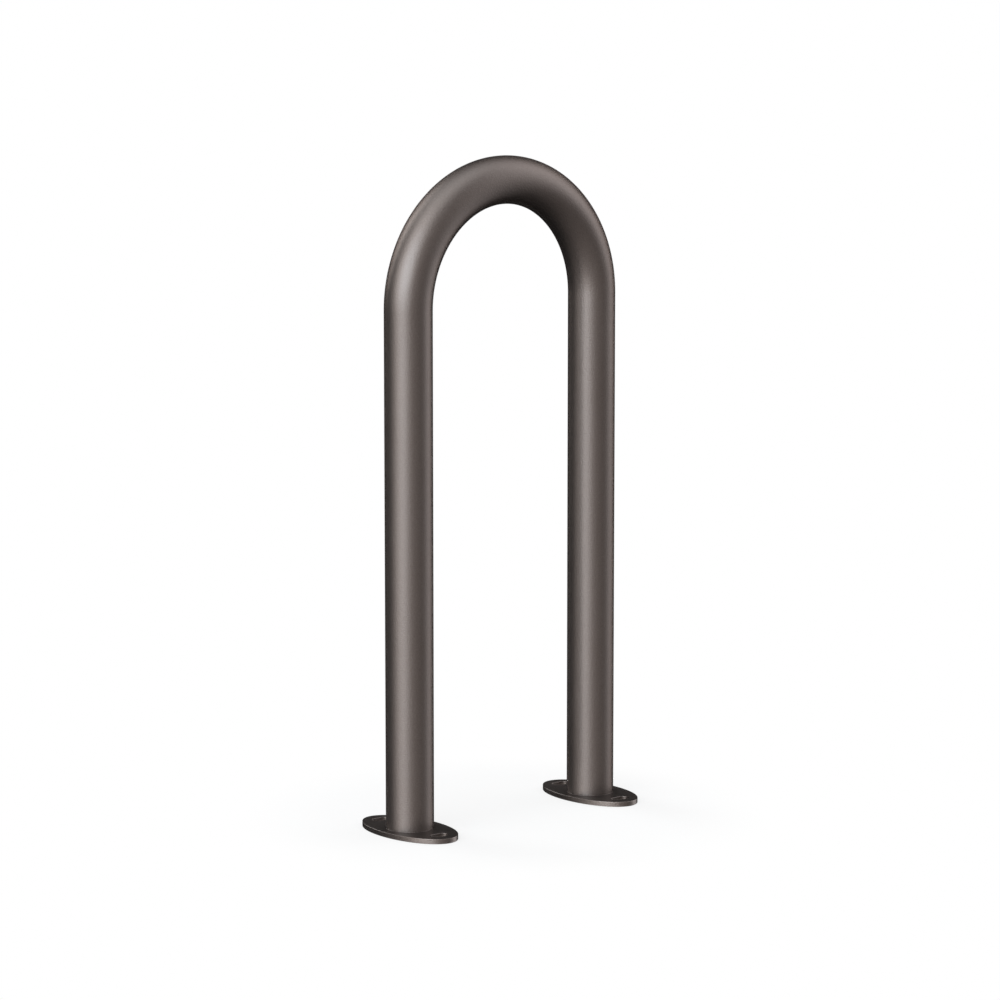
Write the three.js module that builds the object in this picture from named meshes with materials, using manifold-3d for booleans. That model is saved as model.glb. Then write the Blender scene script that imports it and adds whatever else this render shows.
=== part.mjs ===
// Hoop bike rack: one bent steel pipe whose legs stand in two oval flanges that bolt to the ground.
// Lengths are in millimetres and +Z is up. The origin lies on the ground, midway between the legs.
// The hoop lies in the XZ plane, and each flange is long across that plane, along Y.
import * as THREE from "three";
import { mergeVertices } from "three/addons/utils/BufferGeometryUtils.js";
import Module from "manifold-3d";

// The pipe: 2 in nominal, schedule 40, bent to a half circle that joins two straight legs.
const RACK_HEIGHT = 838.2;
const LEG_SPACING = 304.8;
const PIPE_DIAMETER = 60.325;
const PIPE_WALL = 3.91;

// The flange: an oval cut from quarter-inch plate, with its top and bottom edges eased.
const FLANGE_LENGTH = 157.2;
const FLANGE_WIDTH = 84.1;
const FLANGE_THICKNESS = 6.35;
const FLANGE_EDGE_EASE = 0.8;

// The anchor slots: one near each tip of a flange, each running along X.
const SLOT_LENGTH = 25.4;
const SLOT_WIDTH = 14.3;
const SLOT_CENTRE_FROM_TIP = 21.45;

// The seat of a leg in its flange, and the fillet weld underneath that holds it there.
const SEAT_CLEARANCE = 0.3;
const WELD_RECESS_DEPTH = 3.2;
const WELD_REACH_DOWN = 2.4;
const WELD_REACH_IN = 3.2;
const WELD_CROWN = 0.35;
const WELD_CLEARANCE = 0.3;

// How finely round stretches are cut into flats.
const PIPE_OUTER_SIDES = 48;
const PIPE_BORE_SIDES = 32;
const BEND_STEPS = 48;
const FLANGE_OUTLINE_SIDES = 80;
const SLOT_END_SIDES = 10;
const EASE_STEPS = 2;
const WELD_FACE_STEPS = 4;

// A cutter runs this far past both faces of what it cuts.
const CUT_OVERRUN = 2;

const COAT_COLOUR = 0x6e6765;
const COAT_ROUGHNESS = 0.4;
const COAT_METALNESS = 0.5;

const pipeRadius = PIPE_DIAMETER / 2;
const boreRadius = pipeRadius - PIPE_WALL;
const bendRadius = LEG_SPACING / 2;
const bendCentreHeight = RACK_HEIGHT - pipeRadius - bendRadius;
const seatRadius = pipeRadius + SEAT_CLEARANCE;
const slotCentreOffset = FLANGE_LENGTH / 2 - SLOT_CENTRE_FROM_TIP;

const wasm = await Module();
wasm.setup();

// A closed geometry as a solid that can be cut. Only positions are kept, with shared corners merged.
function solidFrom(geometry) {
  const bare = geometry.clone();
  bare.deleteAttribute("normal");
  bare.deleteAttribute("uv");
  const merged = mergeVertices(bare);
  return new wasm.Manifold(
    new wasm.Mesh({
      numProp: 3,
      vertProperties: merged.attributes.position.array,
      triVerts: new Uint32Array(merged.index.array),
    }),
  );
}

// A solid back as a geometry for a mesh.
function geometryFrom(solid) {
  const { numProp, vertProperties, triVerts } = solid.getMesh();
  const cornerCount = vertProperties.length / numProp;
  const positions = new Float32Array(cornerCount * 3);
  for (let i = 0; i < cornerCount; i++) {
    positions.set(vertProperties.subarray(i * numProp, i * numProp + 3), i * 3);
  }
  const geometry = new THREE.BufferGeometry();
  geometry.setAttribute("position", new THREE.BufferAttribute(positions, 3));
  geometry.setIndex(new THREE.BufferAttribute(new Uint32Array(triVerts), 1));
  geometry.computeVertexNormals();
  return geometry;
}

// Points of a full ellipse, without the last one, which would repeat the first.
function ellipsePoints(radiusX, radiusY, sides) {
  const ring = new THREE.EllipseCurve(0, 0, radiusX, radiusY, 0, 2 * Math.PI);
  return ring.getPoints(sides).slice(0, -1);
}

function circlePoints(radius, sides) {
  return ellipsePoints(radius, radius, sides);
}

// The pipe's centreline: up the left leg, round the half circle and down the right leg.
// It is cut into equal steps of its parameter. The first and last are whole legs, and the
// steps between share the bend, so every section stands square to the pipe.
class HoopCentreline extends THREE.Curve {
  constructor(footHeight, springHeight, radius, bendSteps) {
    super();
    this.footHeight = footHeight;
    this.springHeight = springHeight;
    this.radius = radius;
    this.bendSteps = bendSteps;
    this.steps = bendSteps + 2;
  }

  // The angle travelled round the bend, which stays 0 up the left leg and half a turn down the right.
  bendAngle(t) {
    const turned = (t * this.steps - 1) / this.bendSteps;
    return Math.PI * THREE.MathUtils.clamp(turned, 0, 1);
  }

  getPoint(t, target = new THREE.Vector3()) {
    const place = t * this.steps;
    const legShare = Math.max(0, 1 - place, place - (this.steps - 1));
    const angle = this.bendAngle(t);
    const drop = legShare * (this.springHeight - this.footHeight);
    return target.set(
      -this.radius * Math.cos(angle),
      0,
      this.springHeight + this.radius * Math.sin(angle) - drop,
    );
  }

  getPointAt(t, target) {
    return this.getPoint(t, target);
  }

  getTangent(t, target = new THREE.Vector3()) {
    const angle = this.bendAngle(t);
    return target.set(Math.sin(angle), 0, Math.cos(angle));
  }

  getTangentAt(t, target) {
    return this.getTangent(t, target);
  }
}

// The bent pipe: a ring section carried along the centreline, open at both feet so that it drains.
function hoopTube() {
  const section = new THREE.Shape(circlePoints(pipeRadius, PIPE_OUTER_SIDES));
  section.holes.push(new THREE.Path(circlePoints(boreRadius, PIPE_BORE_SIDES)));
  const centreline = new HoopCentreline(
    WELD_RECESS_DEPTH,
    bendCentreHeight,
    bendRadius,
    BEND_STEPS,
  );
  return new THREE.ExtrudeGeometry(section, {
    steps: centreline.steps,
    extrudePath: centreline,
  });
}

// A slot's outline about its own centre, long along X, with full round ends.
function slotPoints() {
  const endRadius = SLOT_WIDTH / 2;
  const endReach = SLOT_LENGTH / 2 - endRadius;
  const quarter = Math.PI / 2;
  const rightEnd = new THREE.EllipseCurve(
    endReach, 0, endRadius, endRadius, -quarter, quarter,
  );
  const leftEnd = new THREE.EllipseCurve(
    -endReach, 0, endRadius, endRadius, quarter, 3 * quarter,
  );
  return [...rightEnd.getPoints(SLOT_END_SIDES), ...leftEnd.getPoints(SLOT_END_SIDES)];
}

// The flange: an eased oval plate with its two slots, bored to take the leg.
function baseFlange() {
  const outline = new THREE.Shape(
    ellipsePoints(FLANGE_WIDTH / 2, FLANGE_LENGTH / 2, FLANGE_OUTLINE_SIDES),
  );
  for (const side of [-1, 1]) {
    const slot = slotPoints().map((point) => point.setY(point.y + side * slotCentreOffset));
    outline.holes.push(new THREE.Path(slot));
  }
  const plate = new THREE.ExtrudeGeometry(outline, {
    depth: FLANGE_THICKNESS - 2 * FLANGE_EDGE_EASE,
    bevelEnabled: true,
    bevelThickness: FLANGE_EDGE_EASE,
    bevelSize: FLANGE_EDGE_EASE,
    bevelOffset: -FLANGE_EDGE_EASE,
    bevelSegments: EASE_STEPS,
  });
  plate.translate(0, 0, FLANGE_EDGE_EASE);

  const seatShape = new THREE.Shape(circlePoints(seatRadius, PIPE_OUTER_SIDES));
  const seatCutter = new THREE.ExtrudeGeometry(seatShape, {
    depth: FLANGE_THICKNESS + 2 * CUT_OVERRUN,
    bevelEnabled: false,
  });
  seatCutter.translate(0, 0, -CUT_OVERRUN);
  return geometryFrom(solidFrom(plate).subtract(solidFrom(seatCutter)));
}

// The weld under a leg: a ring that fills the corner between the pipe's end and the flange's bore.
// Its section is a triangle whose sloping face swells a little.
function baseWeld() {
  const wallRadius = seatRadius - WELD_CLEARANCE;
  const top = WELD_RECESS_DEPTH - WELD_CLEARANCE;
  const corner = new THREE.Vector2(wallRadius, top);
  const toe = new THREE.Vector2(wallRadius, top - WELD_REACH_DOWN);
  const root = new THREE.Vector2(wallRadius - WELD_REACH_IN, top);
  const slope = new THREE.Vector2().subVectors(root, toe);
  const outward = new THREE.Vector2(-slope.y, slope.x).normalize();
  const crown = new THREE.Vector2()
    .addVectors(root, toe)
    .multiplyScalar(0.5)
    .addScaledVector(outward, 2 * WELD_CROWN);
  const face = new THREE.QuadraticBezierCurve(root, crown, toe);
  const section = [corner, ...face.getPoints(WELD_FACE_STEPS), corner];
  const ring = new THREE.LatheGeometry(section, PIPE_OUTER_SIDES);
  return ring.rotateX(Math.PI / 2);
}

// Each sub-part has its own material, so that each can be given its own finish.
function coat() {
  return new THREE.MeshStandardMaterial({
    color: COAT_COLOUR,
    roughness: COAT_ROUGHNESS,
    metalness: COAT_METALNESS,
  });
}

function piece(name, geometry) {
  const mesh = new THREE.Mesh(geometry, coat());
  mesh.name = name;
  return mesh;
}

const rack = new THREE.Group();
rack.name = "hoop_bike_rack";
rack.add(piece("hoop_tube", hoopTube()));

for (const [sideName, side] of [["left", -1], ["right", 1]]) {
  const foot = new THREE.Group();
  foot.position.x = side * bendRadius;
  foot.add(piece(`${sideName}_base_flange`, baseFlange()));
  foot.add(piece(`${sideName}_base_weld`, baseWeld()));
  rack.add(foot);
}

export default rack;
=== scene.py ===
# %% [markdown]
# # A hoop bike rack
#
# This rack is one length of steel pipe bent into an upside-down U. Each leg stands in an oval
# plate, and a weld underneath holds the two together. The whole rack is then powder coated.
# The CAD model gives every size, and this file gives the rack its smooth surfaces, its finish
# and a small photo studio.

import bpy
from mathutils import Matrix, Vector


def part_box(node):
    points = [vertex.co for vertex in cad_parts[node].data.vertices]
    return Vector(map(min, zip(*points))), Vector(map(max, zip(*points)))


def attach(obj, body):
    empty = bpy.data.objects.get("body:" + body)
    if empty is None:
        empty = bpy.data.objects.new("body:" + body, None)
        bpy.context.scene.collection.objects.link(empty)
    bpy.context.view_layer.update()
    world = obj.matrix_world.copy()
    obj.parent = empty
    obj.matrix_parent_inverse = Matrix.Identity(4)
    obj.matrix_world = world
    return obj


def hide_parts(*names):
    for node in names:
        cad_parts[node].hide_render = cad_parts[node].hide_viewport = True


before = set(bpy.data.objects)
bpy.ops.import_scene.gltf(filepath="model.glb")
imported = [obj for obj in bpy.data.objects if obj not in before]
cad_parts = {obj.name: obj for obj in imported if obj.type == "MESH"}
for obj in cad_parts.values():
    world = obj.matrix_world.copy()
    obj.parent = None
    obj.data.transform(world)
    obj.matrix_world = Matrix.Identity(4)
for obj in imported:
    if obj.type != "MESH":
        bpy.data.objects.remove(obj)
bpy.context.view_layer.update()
print("CAD nodes:", sorted(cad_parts))

# %% The other tools
from math import cos, pi, radians, sin

import bpy
import numpy as np
from mathutils import Vector
from mathutils.geometry import tessellate_polygon

MM = 0.001

# %% [markdown]
# ## Sizes
#
# The sizes could be typed in again, but two copies of a size drift apart. So they are read from
# the boxes round the CAD nodes. Only what no box can tell, such as the wall of the pipe or the
# size of a slot, is written here, in millimetres.

# %% Read the sizes from the frame
pipe_low, pipe_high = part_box("hoop_tube")
PIPE_RADIUS = pipe_high.y
PIPE_WALL = 3.91 * MM
BEND_RADIUS = pipe_high.x - PIPE_RADIUS
BEND_HEIGHT = pipe_high.z - PIPE_RADIUS - BEND_RADIUS
PIPE_FOOT = pipe_low.z

plate_low, plate_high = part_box("left_base_flange")
PLATE_HALF_WIDTH = (plate_high.x - plate_low.x) / 2
PLATE_HALF_LENGTH = plate_high.y
PLATE_THICKNESS = plate_high.z
EDGE_EASE = 0.4 * MM
SLOT_LENGTH = 25.4 * MM
SLOT_WIDTH = 14.3 * MM
SLOT_OFFSET = PLATE_HALF_LENGTH - 21.45 * MM
SEAT_CLEARANCE = 0.3 * MM
SEAT_RADIUS = PIPE_RADIUS + SEAT_CLEARANCE

print(f"pipe {2000 * PIPE_RADIUS:.2f} mm, legs {2000 * BEND_RADIUS:.1f} mm apart")
print(f"plate {2000 * PLATE_HALF_WIDTH:.1f} by {2000 * PLATE_HALF_LENGTH:.1f} mm")

# %% [markdown]
# ## From a grid of points to a piece
#
# Blender can make pipes with curves and plates with modifiers. Here each surface is a formula
# of two parameters instead, worked out on a whole grid at once. That gives exact points, and
# exact normals with them, so that round stretches shade as round ones and flat stretches stay
# flat right up to their eased edges.


# %% Grids and meshes
def grid_faces(rows, columns, rows_close=False, first=0):
    """The quads of a grid whose columns close into a ring. Point number = row x columns + column.

    A quad joins its own point to the next one in the row, then to the two above those. Where
    the rows close too, the last row joins the first, as on a ring.
    """
    row_count = rows if rows_close else rows - 1
    row, column = np.meshgrid(np.arange(row_count), np.arange(columns), indexing="ij")
    next_row = (row + 1) % rows
    next_column = (column + 1) % columns
    corners = [
        row * columns + column,
        row * columns + next_column,
        next_row * columns + next_column,
        next_row * columns + column,
    ]
    return first + np.stack(corners, axis=-1).reshape(-1, 4)


def outward_faces(faces, points, normals):
    """The same faces, or all of them turned round, so that they face as their normals do.

    The faces of one group are already wound alike, so one sum over the group decides for all:
    each face's own direction, times its area, dot the mean of its corners' normals.
    """
    corners = points[faces]
    facing = np.cross(corners[:, 1] - corners[:, 0], corners[:, 2] - corners[:, 0])
    wanted = normals[faces].mean(axis=1)
    return faces[:, ::-1] if np.sum(facing * wanted) < 0 else faces


def make_piece(name, points, normals, faces, marks):
    """A mesh object from arrays: points, unit normals, groups of faces and named marks.

    A mark is a number from 0 to 1 at each point, which a material can read.
    """
    mesh = bpy.data.meshes.new(name)
    wound = [outward_faces(group, points, normals).tolist() for group in faces]
    mesh.from_pydata(points, [], sum(wound, []))
    mesh.polygons.foreach_set("use_smooth", np.ones(len(mesh.polygons), bool))
    for mark, values in marks.items():
        attribute = mesh.attributes.new(mark, "FLOAT", "POINT")
        attribute.data.foreach_set("value", values.astype(np.float32))
    mesh.validate()
    mesh.normals_split_custom_set_from_vertices(normals)
    piece = bpy.data.objects.new(name, mesh)
    bpy.context.scene.collection.objects.link(piece)
    print(f"{name}: {len(points)} points, {len(mesh.polygons)} faces")
    return piece


def quarter_turn(steps):
    """Angles from 0 to a quarter turn, for the rows of an eased edge."""
    return np.linspace(0, pi / 2, steps + 1)


# %% [markdown]
# ## The bent pipe
#
# The real pipe is pulled round a die, so its two legs run straight into a half circle. A curve
# object with a round bevel would do, but it leaves the ends open. Here one closed line, the
# section of the wall cut lengthwise, is turned about the pipe's own axis: along the outside
# from foot to foot, round the cut end, back along the bore and round the other end.

# %% Pipe settings
PIPE_SIDES = 96
LEG_ROWS = 14
BEND_ROWS = 150
PIPE_END_EASE = 0.4 * MM
END_EASE_STEPS = 3
COAT_REACH_INSIDE = 60 * MM
INWARD = -0.5
leg_length = BEND_HEIGHT - PIPE_FOOT
pipe_length = 2 * leg_length + pi * BEND_RADIUS
print(f"pipe {1000 * pipe_length:.0f} mm long, measured along its middle")


# %% Make the pipe
def pipe_centreline(travel):
    """Place, tangent and outward direction on the centreline, this far along it from the left foot.

    The distance is split in three: up the left leg, round the half circle, whose angle is the
    arc's length over its radius, and down the right leg. Outward is the direction away from
    the middle of the bend, and Y is square to both.
    """
    angle = np.clip((travel - leg_length) / BEND_RADIUS, 0, pi)
    climbed = np.clip(travel, 0, leg_length)
    dropped = np.clip(travel - leg_length - pi * BEND_RADIUS, 0, leg_length)
    zero = np.zeros_like(travel)
    height = PIPE_FOOT + climbed + BEND_RADIUS * np.sin(angle) - dropped
    place = np.stack([-BEND_RADIUS * np.cos(angle), zero, height], axis=-1)
    tangent = np.stack([np.sin(angle), zero, np.cos(angle)], axis=-1)
    outward = np.stack([-np.cos(angle), zero, np.sin(angle)], axis=-1)
    return place, tangent, outward


def pipe_wall_line():
    """The wall's section as rows of travel, radius, and the normal's radial and axial parts.

    The outside runs forwards at the pipe's radius. At its end the line turns in two eased
    corners, (1 - cos) in from one face and (1 - sin) short of the other, and comes back
    along the bore. The other end is the same line, mirrored.
    """
    leg = np.linspace(0, leg_length, LEG_ROWS + 1)
    bend = leg_length + BEND_RADIUS * np.linspace(0, pi, BEND_ROWS + 1)[1:-1]
    forwards = np.concatenate([leg, bend, pipe_length - leg[::-1]])
    forwards[0] += PIPE_END_EASE
    forwards[-1] -= PIPE_END_EASE
    bore_radius = PIPE_RADIUS - PIPE_WALL
    turn = quarter_turn(END_EASE_STEPS)
    end = pipe_length - PIPE_END_EASE * (1 - np.sin(turn))
    outer_radius = PIPE_RADIUS - PIPE_END_EASE * (1 - np.cos(turn))
    outer_corner = [end, outer_radius, np.cos(turn), np.sin(turn)]
    turn = turn[::-1]
    inner_radius = bore_radius + PIPE_END_EASE * (1 - np.cos(turn))
    inner_corner = [end[::-1], inner_radius, -np.cos(turn), np.sin(turn)]
    right_end = np.concatenate([np.stack(outer_corner, 1), np.stack(inner_corner, 1)])
    left_end = right_end[::-1] * [-1, 1, 1, -1] + [pipe_length, 0, 0, 0]
    one = np.ones(len(forwards) - 2)
    outside = np.stack([forwards[1:-1], PIPE_RADIUS * one, one, 0 * one], axis=1)
    inside = np.stack([forwards[-2:0:-1], bore_radius * one, -one, 0 * one], axis=1)
    return np.concatenate([outside, right_end, inside, left_end])


def bent_pipe():
    """The pipe as a closed grid: wall line (rows) x turn round the pipe's axis (columns).

    Point = centreline + radius x (outward x cos turn + Y x sin turn). Its normal is the same
    unit vector times the radial part, plus the tangent times the axial part. The mark
    "bare" grows from 0 to 1 along the bore, where the powder doesn't reach. A point is in the
    bore where its normal turns inwards.
    """
    line = pipe_wall_line()
    travel, radius, radial, axial = (line[:, k, None] for k in range(4))
    place, tangent, outward = pipe_centreline(line[:, 0])
    turn = np.linspace(0, 2 * pi, PIPE_SIDES, endpoint=False)[None, :, None]
    spoke = outward[:, None] * np.cos(turn) + np.array([0, 1, 0]) * np.sin(turn)
    points = place[:, None] + radius[..., None] * spoke
    normals = radial[..., None] * spoke + axial[..., None] * tangent[:, None]
    depth = np.minimum(travel, pipe_length - travel) / COAT_REACH_INSIDE
    bare = np.where(radial < INWARD, np.clip(depth, 0, 1), 0) * np.ones((1, PIPE_SIDES))
    faces = grid_faces(len(line), PIPE_SIDES, rows_close=True)
    return make_piece(
        "bent_pipe",
        points.reshape(-1, 3),
        normals.reshape(-1, 3),
        [faces],
        {"bare": bare.reshape(-1), "thin_coat": 0 * bare.reshape(-1)},
    )


pipe = bent_pipe()
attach(pipe, "root")
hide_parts("hoop_tube")

# %% [markdown]
# ## The flange plates
#
# Each plate is cut from quarter-inch steel, and its edges are eased, or the coat would be thin
# there. Boolean cuts would leave long slivers beside the slots. Here one edge profile is carried
# round each of the four outlines, the oval, the two slots and the seat of the leg, and the flat
# faces are filled in between.

# %% Plate settings
OVAL_SIDES = 240
SEAT_SIDES = 96
SLOT_END_SIDES = 24
EASE_STEPS = 6
LAND = 0.9 * MM
SEAT_EASE = 0.4 * MM
FILLET = 0.2 * MM
LIP_SHARE = 0.9
PIPE_GAP = 0.02 * MM


# %% The outlines of a plate
def oval_outline():
    """An ellipse: points (a sin t, b cos t) and outward normals (sin t / a, cos t / b)."""
    t = np.linspace(0, 2 * pi, OVAL_SIDES, endpoint=False)
    points = np.stack([PLATE_HALF_WIDTH * np.sin(t), PLATE_HALF_LENGTH * np.cos(t)], axis=1)
    normals = points / np.array([PLATE_HALF_WIDTH, PLATE_HALF_LENGTH]) ** 2
    return points, normals / np.linalg.norm(normals, axis=1, keepdims=True)


def slot_outline(side):
    """Points of a slot with round ends, and normals that point into the open slot.

    Each end is a half circle about a point half the straight length from the middle, so a
    point is that centre plus the radius times the end's own unit vector.
    """
    radius = SLOT_WIDTH / 2
    reach = SLOT_LENGTH / 2 - radius
    end = np.linspace(-pi / 2, pi / 2, SLOT_END_SIDES + 1)
    angle = np.concatenate([end, end + pi])
    centre = np.where(np.arange(len(angle)) <= SLOT_END_SIDES, reach, -reach)
    spoke = np.stack([np.cos(angle), np.sin(angle)], axis=1)
    shift = np.stack([centre, np.full(len(angle), side * SLOT_OFFSET)], axis=1)
    return shift + radius * spoke, -spoke


def seat_outline():
    """Points of the round seat of the leg, and normals that point at its middle."""
    t = np.linspace(0, 2 * pi, SEAT_SIDES, endpoint=False)
    spoke = np.stack([np.cos(t), np.sin(t)], axis=1)
    return SEAT_RADIUS * spoke, -spoke


# %% The edge profiles
def eased_edge():
    """Rows of the edge of an outline: inset, height, the normal's level and upward part, mark.

    From the top face the line turns down through a quarter circle of the ease's radius, runs
    down the wall, and turns into the bottom face through another. The mark "thin_coat" is 1 on
    the quarter circles and 0 on the faces and the wall.
    """
    turn = quarter_turn(EASE_STEPS)
    one = np.ones_like(turn)
    inset = EDGE_EASE * (1 - np.sin(turn))
    height = PLATE_THICKNESS - EDGE_EASE * (1 - np.cos(turn))
    top = np.stack([inset, height, np.sin(turn), np.cos(turn), one], axis=1)
    land = [[EDGE_EASE + LAND, PLATE_THICKNESS, 0, 1, 0]]
    wall = [[0, PLATE_THICKNESS - EDGE_EASE - LAND, 1, 0, 0]]
    upper = np.concatenate([land, top, wall])
    lower = upper[::-1] * [1, -1, 1, -1, 1] + [0, PLATE_THICKNESS, 0, 0, 0]
    return np.concatenate([upper, lower])


def seat_edge():
    """Rows of the edge round the leg, as eased_edge gives them.

    The coat fills the corner between plate and pipe with a small hollow fillet, a quarter
    circle seen from inside, so its normals turn from upwards to away from the pipe. Behind it the
    line drops into the gap, widens to the seat and ends in an eased bottom edge.
    """
    turn = quarter_turn(EASE_STEPS)
    zero = np.zeros_like(turn)
    nearest = -(SEAT_CLEARANCE - PIPE_GAP)
    inset = nearest + FILLET * (1 - np.sin(turn))
    height = PLATE_THICKNESS + FILLET * (1 - np.cos(turn))
    fillet = np.stack([inset, height, -np.sin(turn), np.cos(turn), zero], axis=1)
    land = [[FILLET + LAND, PLATE_THICKNESS, 0, 1, 0]]
    gap = [
        [nearest, PLATE_THICKNESS + LIP_SHARE * FILLET, 1, 0, 0],
        [nearest, PLATE_THICKNESS - FILLET, 1, 0, 0],
        [0, PLATE_THICKNESS - 2 * FILLET, 1, 0, 0],
    ]
    turn = turn[::-1]
    inset = SEAT_EASE * (1 - np.sin(turn))
    height = SEAT_EASE * (1 - np.cos(turn))
    bottom = np.stack([inset, height, np.sin(turn), -np.cos(turn), zero + 1], axis=1)
    foot = [[SEAT_EASE + LAND, 0, 0, -1, 0]]
    return np.concatenate([land, fillet, gap, bottom, foot])


# %% Carry a profile round an outline
def carry(profile, outline):
    """Grid of points, normals and marks: outline point - inset x outline normal, at each height."""
    points, normals = outline
    inset, height, level, upward, mark = (profile[:, k, None] for k in range(5))
    flat = points[None] - inset[..., None] * normals[None]
    tall = np.broadcast_to(height, flat.shape[:2])
    spread = level[..., None] * normals[None]
    rise = np.broadcast_to(upward, flat.shape[:2])
    marks = np.broadcast_to(mark, flat.shape[:2])
    return (
        np.concatenate([flat, tall[..., None]], axis=-1),
        np.concatenate([spread, rise[..., None]], axis=-1),
        marks,
    )


# %% Make the plates
def flange_plate(name, centre_x):
    """One plate: four carried edges, and two flat faces filled between their outermost rows."""
    edges = [
        carry(eased_edge(), oval_outline()),
        carry(eased_edge(), slot_outline(-1)),
        carry(eased_edge(), slot_outline(1)),
        carry(seat_edge(), seat_outline()),
    ]
    points = np.concatenate([grid[0].reshape(-1, 3) for grid in edges])
    normals = np.concatenate([grid[1].reshape(-1, 3) for grid in edges])
    marks = np.concatenate([grid[2].reshape(-1) for grid in edges])
    quads = []
    top_rings = []
    bottom_rings = []
    first = 0
    for grid, _, _ in edges:
        rows, columns = grid.shape[:2]
        quads.append(grid_faces(rows, columns, first=first))
        top_rings.append(first + np.arange(columns))
        bottom_rings.append(first + (rows - 1) * columns + np.arange(columns))
        first += rows * columns
    fills = []
    for rings in (top_rings, bottom_rings):
        order = np.concatenate(rings)
        lines = [[Vector((points[k, 0], points[k, 1], 0)) for k in ring] for ring in rings]
        fills.append(order[np.array(tessellate_polygon(lines))])
    points = points + np.array([centre_x, 0, 0])
    marks = {"thin_coat": marks, "bare": 0 * marks}
    return make_piece(name, points, normals, [*quads, *fills], marks)


SIDES = {"left": -1, "right": 1}
plates = {}
for side, sign in SIDES.items():
    plate = flange_plate(f"{side}_flange_plate", sign * BEND_RADIUS)
    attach(plate, "root")
    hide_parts(f"{side}_base_flange")
    plates[side] = plate

# %% [markdown]
# ## The weld beads
#
# Underneath, the leg ends a little above the ground, and a fillet weld fills the corner that
# this leaves inside the plate. A welder lays it as a row of small pools, each frozen on the
# last, which shows as crescent ripples. Bump alone would leave the bead's edge smooth, so the
# ripples are in the surface itself.

# %% Bead settings
BEAD_COLUMNS = 640
BEAD_ROWS = 14
BEAD_TOE_HEIGHT = 0.75 * MM
BEAD_REACH = 3.1 * MM
BEAD_CROWN = 0.35 * MM
RIPPLES = 78
RIPPLE_HEIGHT = 0.16 * MM
RIPPLE_LAG = 1.9
RIPPLE_WANDER = 3
SLOW_WAVES = 3
SLOW_WANDER = 0.06
QUICK_WAVES = 7
QUICK_WANDER = 0.04
BEAD_START = 1.2
BEAD_OVERLAP = 0.25 * MM
OVERLAP_TURN = 0.07
print(f"ripples {2000 * pi * SEAT_RADIUS / RIPPLES:.1f} mm apart")


# %% Make the beads
def weld_bead(name, centre_x, start):
    """A bead as a closed grid: section (rows) x turn round the leg (columns).

    The section is a straight line from the toe, on the seat's wall, to the root, on the pipe's
    end. Added square to it are a crown, 4 v (1 - v) high, and ripples: a cosine of the turn
    whose phase lags along a parabola of v, so that each ripple is a crescent. Both fade at the
    toe and the root. The bead wanders a little, as a sum of two waves round the leg, and a low
    bump shows where it was started and ended.
    """
    turn = np.linspace(0, 2 * pi, BEAD_COLUMNS, endpoint=False)[None, :]
    v = np.linspace(0, 1, BEAD_ROWS)[:, None]
    hump = 4 * v * (1 - v)
    slow = SLOW_WANDER * np.sin(SLOW_WAVES * turn + start)
    wander = slow + QUICK_WANDER * np.sin(QUICK_WAVES * turn + 2 * start)
    ripple = np.cos(RIPPLES * turn + RIPPLE_LAG * hump + RIPPLE_WANDER * wander)
    overlap = np.exp(-(((turn - start + pi) % (2 * pi) - pi) / OVERLAP_TURN) ** 2)
    swell = hump * (BEAD_CROWN * (1 + wander) + BEAD_OVERLAP * overlap)
    swell = swell + RIPPLE_HEIGHT * (1 - np.abs(ripple)) * np.sqrt(hump)
    toe = np.array([SEAT_RADIUS, BEAD_TOE_HEIGHT])
    root = np.array([PIPE_RADIUS - BEAD_REACH, PIPE_FOOT])
    slope = (root - toe) / np.linalg.norm(root - toe)
    reach = toe[0] + (root[0] - toe[0]) * v * (1 + wander) + slope[1] * -swell
    height = toe[1] + (root[1] - toe[1]) * v + slope[0] * swell
    corner = np.ones_like(turn)
    radius = np.concatenate([reach, SEAT_RADIUS * corner])
    height = np.concatenate([height, PIPE_FOOT * corner])
    points = np.stack([radius * np.cos(turn), radius * np.sin(turn), height], axis=-1)
    along = np.roll(points, -1, axis=1) - np.roll(points, 1, axis=1)
    across = np.roll(points, -1, axis=0) - np.roll(points, 1, axis=0)
    across[0] = points[1] - points[0]
    across[-2] = points[-2] - points[-3]
    normals = np.cross(across, along)
    normals[-1] = np.stack([np.cos(turn[0]), np.sin(turn[0]), corner[0]], axis=-1)
    normals /= np.linalg.norm(normals, axis=-1, keepdims=True)
    points = points.reshape(-1, 3) + np.array([centre_x, 0, 0])
    normals = normals.reshape(-1, 3)
    faces = grid_faces(BEAD_ROWS + 1, BEAD_COLUMNS, rows_close=True)
    unmarked = np.zeros(len(points))
    return make_piece(name, points, normals, [faces], {"thin_coat": unmarked, "bare": unmarked})


beads = {}
for side, sign in SIDES.items():
    bead = weld_bead(f"{side}_weld_bead", sign * BEND_RADIUS, BEAD_START + sign)
    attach(bead, "root")
    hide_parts(f"{side}_base_weld")
    beads[side] = bead

# %% [markdown]
# ## Writing a material as sums
#
# A material is a tree of nodes. Placing each node by hand takes many lines, so this small class
# lets a finish be written as a sum: adding or multiplying two signals adds the Math node that
# does it, and one method adds any other node.


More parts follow.
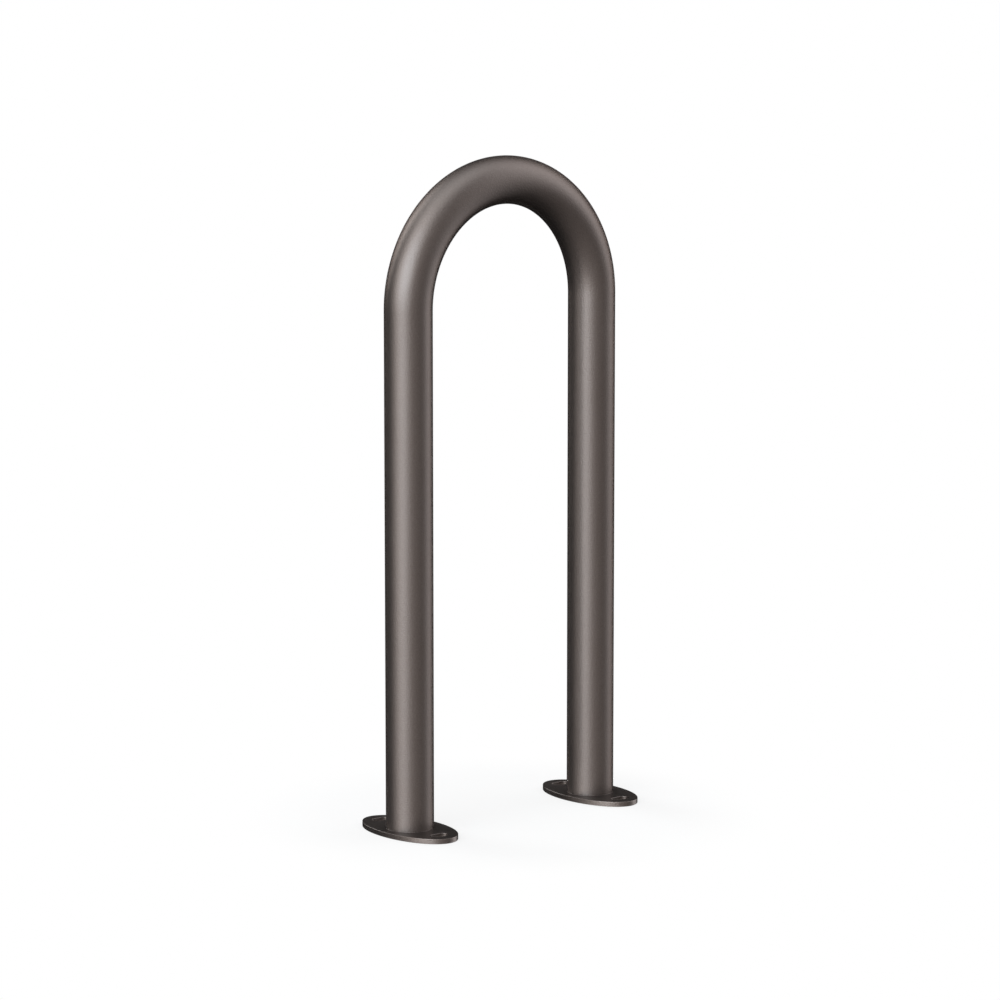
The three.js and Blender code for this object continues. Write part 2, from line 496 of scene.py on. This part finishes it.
# %% A signal in a material
class Signal:
    """A socket of a node tree, with which shader maths is written as Python expressions."""

    def __init__(self, tree, socket=None):
        self.tree = tree
        self.socket = socket

    def node(self, kind, settings=None, inputs=None, output=0):
        """Adds a node: its settings first, then its sockets' values or links. Gives one output."""
        made = self.tree.nodes.new(kind)
        for name, value in (settings or {}).items():
            setattr(made, name, value)
        for name, value in (inputs or {}).items():
            if isinstance(value, Signal):
                self.tree.links.new(value.socket, made.inputs[name])
            else:
                made.inputs[name].default_value = value
        return Signal(self.tree, made.outputs[output]) if made.outputs else None

    def maths(self, operation, first, second):
        """One Math node on two signals or numbers."""
        return self.node("ShaderNodeMath", {"operation": operation}, {0: first, 1: second})

    def __add__(self, other):
        return self.maths("ADD", self, other)

    def __sub__(self, other):
        return self.maths("SUBTRACT", self, other)

    def __rsub__(self, other):
        return self.maths("SUBTRACT", other, self)

    def __mul__(self, other):
        return self.maths("MULTIPLY", self, other)

    __radd__ = __add__
    __rmul__ = __mul__


def empty_tree(owner):
    """The node tree of a material or world, with nothing in it yet."""
    owner.use_nodes = True
    owner.node_tree.nodes.clear()
    return Signal(owner.node_tree)


def mixed(start, factor, low, high):
    """A colour between two others, at a share that changes over the surface."""
    inputs = {"Factor": factor, 6: low, 7: high}
    return start.node("ShaderNodeMix", {"data_type": "RGBA"}, inputs, output=2)


def noise(start, place, size, detail):
    """Cloudy noise, from 0 to 1, whose blotches are about this size in metres."""
    inputs = {"Vector": place, "Scale": 1 / size, "Detail": detail}
    return start.node("ShaderNodeTexNoise", {"normalize": True}, inputs)


def smooth_step(start, value, edge, low=0.0, high=1.0):
    """A smooth climb from low to high between the two values of the edge."""
    inputs = {
        "Value": value,
        "From Min": edge[0],
        "From Max": edge[1],
        "To Min": low,
        "To Max": high,
    }
    return start.node("ShaderNodeMapRange", {"interpolation_type": "SMOOTHSTEP"}, inputs)


# %% [markdown]
# ## The powder coat
#
# Powder coat is a baked plastic skin with metal flake in it. On this rack it is a satin dark
# bronze. Close up it has a fine orange peel, a speckle of paler flake, a colour that drifts a
# little, and a thinner, smoother skin on eased edges. A flat colour would look like plastic
# pipe, and a photographed texture would repeat, so the whole finish is worked out from the
# place on the rack. The flake gives it a metal's sheen. On the pipe the sheen is made to fade
# towards a grazing look, because its edges are dark against the white in the photograph. The
# plates are a little smoother and keep more of the sheen, because there each one mirrors the
# foot of its leg. Both are fitted to the photograph, and not measured on a real coat.

# %% Colours of the coat
COAT_DEEP = (0.140, 0.121, 0.113, 1)
COAT_PALE = (0.172, 0.152, 0.144, 1)
COAT_EDGE = (0.20, 0.175, 0.165, 1)
BARE_STEEL = (0.30, 0.285, 0.27, 1)
PIPE_GRAZING_TINT = (0.0, 0.0, 0.0, 1)
PLATE_GRAZING_TINT = (0.6, 0.6, 0.6, 1)
COAT_METAL = 0.95
PIPE_ROUGHNESS = 0.39
PLATE_ROUGHNESS = 0.32

# %% Patterns of the coat
DRIFT_SIZE = 45 * MM
MOTTLE_SIZE = 4 * MM
FLAKE_SIZE = 1.3 * MM
PEEL_SIZE = 1.6 * MM
PEEL_HEIGHT = 0.22 * MM
GRAIN_SIZE = 0.6 * MM
GRAIN_HEIGHT = 0.008 * MM
DRIFT_DETAIL = 3
SPOT_DETAIL = 2
BUMP_DETAIL = 1
NOISE_MIDDLE = 0.5
DRIFT_SHARE = 0.2
MOTTLE_SHARE = 0.1
FLAKE_SHARE = 0.7
FLAKE_EDGE = (0.3, 0.7)
MOTTLE_ROUGHENS = 0.08
DRIFT_ROUGHENS = 0.05
WEAR_SMOOTHS = 0.06
WEAR_LEAST = 0.25
WEAR_SPREAD = 0.5
STEEL_EDGE = (0.35, 0.65)
STEEL_RAGGED = 0.5


# %% Make the finishes
def powder_coat(name, roughness, grazing_tint):
    """The coat as a material, with its middle roughness and its tint at a grazing look.

    Its colour lies between deep and pale at a weighed sum of three noises, and the same noises
    sway its roughness about the middle value. Worn = thin_coat x a mottled share, and steel =
    a smooth step of bare, its border made ragged by the mottle.
    """
    material = bpy.data.materials.new(name)
    start = empty_tree(material)
    place = start.node("ShaderNodeTexCoord", output="Object")
    thin = start.node("ShaderNodeAttribute", {"attribute_name": "thin_coat"}, output="Fac")
    bare = start.node("ShaderNodeAttribute", {"attribute_name": "bare"}, output="Fac")

    drift = noise(start, place, DRIFT_SIZE, DRIFT_DETAIL)
    mottle = noise(start, place, MOTTLE_SIZE, SPOT_DETAIL)
    flake = smooth_step(start, noise(start, place, FLAKE_SIZE, SPOT_DETAIL), FLAKE_EDGE)
    orange_peel = noise(start, place, PEEL_SIZE, BUMP_DETAIL)
    fine_grain = noise(start, place, GRAIN_SIZE, BUMP_DETAIL)

    steel = smooth_step(start, bare + STEEL_RAGGED * (mottle - NOISE_MIDDLE), STEEL_EDGE)
    worn = thin * (WEAR_LEAST + WEAR_SPREAD * mottle)
    paleness = DRIFT_SHARE * drift + MOTTLE_SHARE * mottle + FLAKE_SHARE * flake
    colour = mixed(start, paleness, COAT_DEEP, COAT_PALE)
    colour = mixed(start, worn, colour, COAT_EDGE)
    colour = mixed(start, steel, colour, BARE_STEEL)
    sway = MOTTLE_ROUGHENS * (mottle - NOISE_MIDDLE) + DRIFT_ROUGHENS * (drift - NOISE_MIDDLE)
    rough = roughness + sway - WEAR_SMOOTHS * worn

    height = PEEL_HEIGHT * orange_peel + GRAIN_HEIGHT * fine_grain
    bump = start.node("ShaderNodeBump", inputs={"Strength": 1.0, "Distance": 1.0, "Height": height})
    shader = start.node(
        "ShaderNodeBsdfPrincipled",
        inputs={
            "Base Color": colour,
            "Metallic": COAT_METAL,
            "Roughness": rough,
            "Normal": bump,
            "Specular IOR Level": 0.0,
            "Specular Tint": grazing_tint,
        },
    )
    start.node("ShaderNodeOutputMaterial", inputs={"Surface": shader})
    print(f"{name}: {len(material.node_tree.nodes)} nodes")
    return material


pipe_finish = powder_coat("pipe_powder_coat", PIPE_ROUGHNESS, PIPE_GRAZING_TINT)
plate_finish = powder_coat("plate_powder_coat", PLATE_ROUGHNESS, PLATE_GRAZING_TINT)
bead_finish = powder_coat("bead_powder_coat", PIPE_ROUGHNESS, PIPE_GRAZING_TINT)
pipe.data.materials.append(pipe_finish)
for side in SIDES:
    plates[side].data.materials.append(plate_finish)
    beads[side].data.materials.append(bead_finish)

# %% [markdown]
# ## The room
#
# The coat mirrors the room, so the light in the room makes the rack's look. The highlights in
# the photograph fit a wide, warm key light at the left front with a cooler core, a wide light
# at the right rear, a small strong one at the left rear, a weak one in front and one overhead.
# Area lamps have hard edges, which a satin pipe draws out into lines. Here the walls of the
# room glow instead, brightest in the middle of each light and fading outwards. Behind the rack
# hangs a white backdrop, and a dark card stands in front of its lower part. The eye sees white
# everywhere, and reflections show white where the backdrop is. Nothing in the photograph shows
# the card, but without one the plates would come out paler than they are there.

# %% Room settings
CAMERA_AZIMUTH = radians(-41.2478)
CAMERA_ELEVATION = radians(9.1817)
WHITE = (1, 1, 1, 1)
SOFT_LIGHTS = {
    "key": {
        "azimuth": -33.7,
        "elevation": 19.2,
        "half_size": (0.80, 0.82),
        "colour": (2.90, 2.83, 2.74),
    },
    "key_core": {
        "azimuth": -27.1,
        "elevation": 19.7,
        "half_size": (0.57, 0.56),
        "colour": (0.78, 1.33, 1.76),
    },
    "right_rear": {
        "azimuth": 128.4,
        "elevation": 17.6,
        "half_size": (0.88, 0.97),
        "colour": (2.60, 2.58, 2.62),
    },
    "left_rear": {
        "azimuth": -131.9,
        "elevation": 26.2,
        "half_size": (0.42, 0.60),
        "colour": (5.45, 5.62, 5.66),
    },
    "front": {
        "azimuth": -2.4,
        "elevation": 4.4,
        "half_size": (1.34, 1.20),
        "colour": (0.61, 0.55, 0.52),
    },
    "top": {
        "azimuth": -34,
        "elevation": 82,
        "half_size": (0.76, 0.66),
        "colour": (1.56, 1.61, 1.63),
    },
}
BACKDROP_EDGE = (0.4, 0.7)
CARD_EDGE = (0.6, 0.85)
CARD_TOP = (0.5, 0.75)


# %% Make the room
def ray_kinds(start):
    """1 or 0 for a ray straight from the camera, and for one off a mirror or through glass."""
    camera_ray = start.node("ShaderNodeLightPath", output="Is Camera Ray")
    kinds = camera_ray.socket.node.outputs
    glossy_ray = Signal(start.tree, kinds["Is Glossy Ray"])
    glass_ray = Signal(start.tree, kinds["Is Transmission Ray"])
    return camera_ray, start.maths("MAXIMUM", glossy_ray, glass_ray)


def view_frame(azimuth, elevation):
    """Unit vectors away from the rack, to the right and up, at angles from the camera's side."""
    turn = CAMERA_AZIMUTH + azimuth
    away = Vector((sin(turn) * cos(elevation), -cos(turn) * cos(elevation), sin(elevation)))
    right = Vector((cos(turn), sin(turn), 0))
    return away, right, away.cross(right)


def along(start, direction, axis):
    """The part of a direction along an axis: their dot product."""
    inputs = {0: direction, 1: axis}
    return start.node("ShaderNodeVectorMath", {"operation": "DOT_PRODUCT"}, inputs, output="Value")


def soft_light(start, direction, azimuth, elevation, half_size, colour):
    """A glow on the room's wall, an oval that fades from its middle outwards.

    With x and y for the parts of the direction to the right and up, each over its half size,
    the glow falls smoothly from its full colour at x squared + y squared = 0 to none at 1.
    """
    away, right, up = view_frame(radians(azimuth), radians(elevation))
    x = along(start, direction, right / half_size[0])
    y = along(start, direction, up / half_size[1])
    facing = start.maths("GREATER_THAN", along(start, direction, away), 0)
    glow = smooth_step(start, x * x + y * y, (0, 1), 1, 0) * facing
    return start.node("ShaderNodeVectorMath", {"operation": "SCALE"}, {0: colour, "Scale": glow})


def studio_room():
    """A world that glows with the soft lights, white to the eye and where the backdrop hangs.

    backdrop = (behind the rack) x (above the card), and card = (behind the rack) x (1 - above
    the card). The glow is weakened by the card's share, and then mixed with white.
    """
    world = bpy.data.worlds.new("studio_room")
    bpy.context.scene.world = world
    start = empty_tree(world)
    direction = start.node("ShaderNodeTexCoord", output="Generated")
    lights = (0, 0, 0)
    for settings in SOFT_LIGHTS.values():
        glow = soft_light(start, direction, **settings)
        lights = start.node("ShaderNodeVectorMath", {"operation": "ADD"}, {0: lights, 1: glow})
    behind_rack = along(start, direction, view_frame(pi, 0)[0])
    above_card = smooth_step(start, along(start, direction, (0, 0, 1)), CARD_TOP)
    backdrop = smooth_step(start, behind_rack, BACKDROP_EDGE) * above_card
    card = smooth_step(start, behind_rack, CARD_EDGE) * (1 - above_card)
    camera_ray, mirror_ray = ray_kinds(start)
    room = start.node("ShaderNodeBackground", inputs={"Color": lights, "Strength": 1 - card})
    white = start.node("ShaderNodeBackground", inputs={"Color": WHITE, "Strength": 1.0})
    whiteness = camera_ray + mirror_ray * backdrop
    shader = start.node("ShaderNodeMixShader", inputs={0: whiteness, 1: room, 2: white})
    start.node("ShaderNodeOutputWorld", inputs={"Surface": shader})
    print(f"room: {len(SOFT_LIGHTS)} soft lights, {len(world.node_tree.nodes)} nodes")


studio_room()

# %% [markdown]
# ## The floor
#
# A white sheet could be lit until it is white, but so much light would wash out the rack. So
# the sheet is plain white to the eye, apart from a share of its own shading near the feet,
# which keeps the rack's soft shadow. It is left out of reflections and blocks no light, because
# the photograph's highlights run on, undimmed, right down to the feet.

# %% Floor settings
FLOOR_RADIUS = 0.35
FLOOR_SIDES = 128
FLOOR_DROP = 0.2 * MM
FLOOR_COLOUR = (0.6, 0.6, 0.6, 1)
SHADOW_SHARE = 0.25
SHADOW_FULL_WITHIN = 0.2


# %% Make the floor
def studio_floor():
    """A round sheet just under the plates: a regular polygon, radius x (cos t, sin t)."""
    mesh = bpy.data.meshes.new("studio_floor")
    t = np.linspace(0, 2 * pi, FLOOR_SIDES, endpoint=False)
    height = np.full_like(t, -FLOOR_DROP)
    rim = np.stack([FLOOR_RADIUS * np.cos(t), FLOOR_RADIUS * np.sin(t), height], axis=1)
    mesh.from_pydata(rim, [], [list(range(FLOOR_SIDES))])
    floor = bpy.data.objects.new("studio_floor", mesh)
    bpy.context.scene.collection.objects.link(floor)
    material = bpy.data.materials.new("studio_floor_paint")
    start = empty_tree(material)
    place = start.node("ShaderNodeTexCoord", output="Object")
    length = {"operation": "LENGTH"}
    distance = start.node("ShaderNodeVectorMath", length, {0: place}, output="Value")
    shaded = smooth_step(start, distance, (SHADOW_FULL_WITHIN, FLOOR_RADIUS), SHADOW_SHARE, 0)
    camera_ray, mirror_ray = ray_kinds(start)
    paint = start.node("ShaderNodeBsdfDiffuse", inputs={"Color": FLOOR_COLOUR})
    white = start.node("ShaderNodeEmission", inputs={"Color": WHITE, "Strength": 1.0})
    whiteness = (camera_ray + mirror_ray) * (1 - shaded)
    shader = start.node("ShaderNodeMixShader", inputs={0: whiteness, 1: paint, 2: white})
    start.node("ShaderNodeOutputMaterial", inputs={"Surface": shader})
    mesh.materials.append(material)
    floor.visible_glossy = False
    floor.visible_shadow = False
    return floor


floor = studio_floor()
print(f"floor {FLOOR_RADIUS} m in radius")

# %% [markdown]
# ## Camera
#
# The photograph was taken with a long lens from the left and a little above. The camera's
# place and lens were worked out from the rack's own edges in the photograph, and then its
# direction follows from the two angles.

# %% Place the camera
CAMERA_PLACE = (-3.52152, -4.0128, 1.26734)
CAMERA_LENS = 154.6111
SENSOR_WIDTH = 36.0

camera_data = bpy.data.cameras.new("camera")
camera_data.lens = CAMERA_LENS
camera_data.sensor_width = SENSOR_WIDTH
camera = bpy.data.objects.new("camera", camera_data)
bpy.context.scene.collection.objects.link(camera)
camera.location = CAMERA_PLACE
backwards = view_frame(0, CAMERA_ELEVATION)[0]
camera.rotation_euler = backwards.to_track_quat("Z", "Y").to_euler()
bpy.context.scene.camera = camera
print("camera", [round(value, 3) for value in camera.location])

# %% Set the colour view and finish
bpy.context.scene.view_settings.view_transform = "Standard"
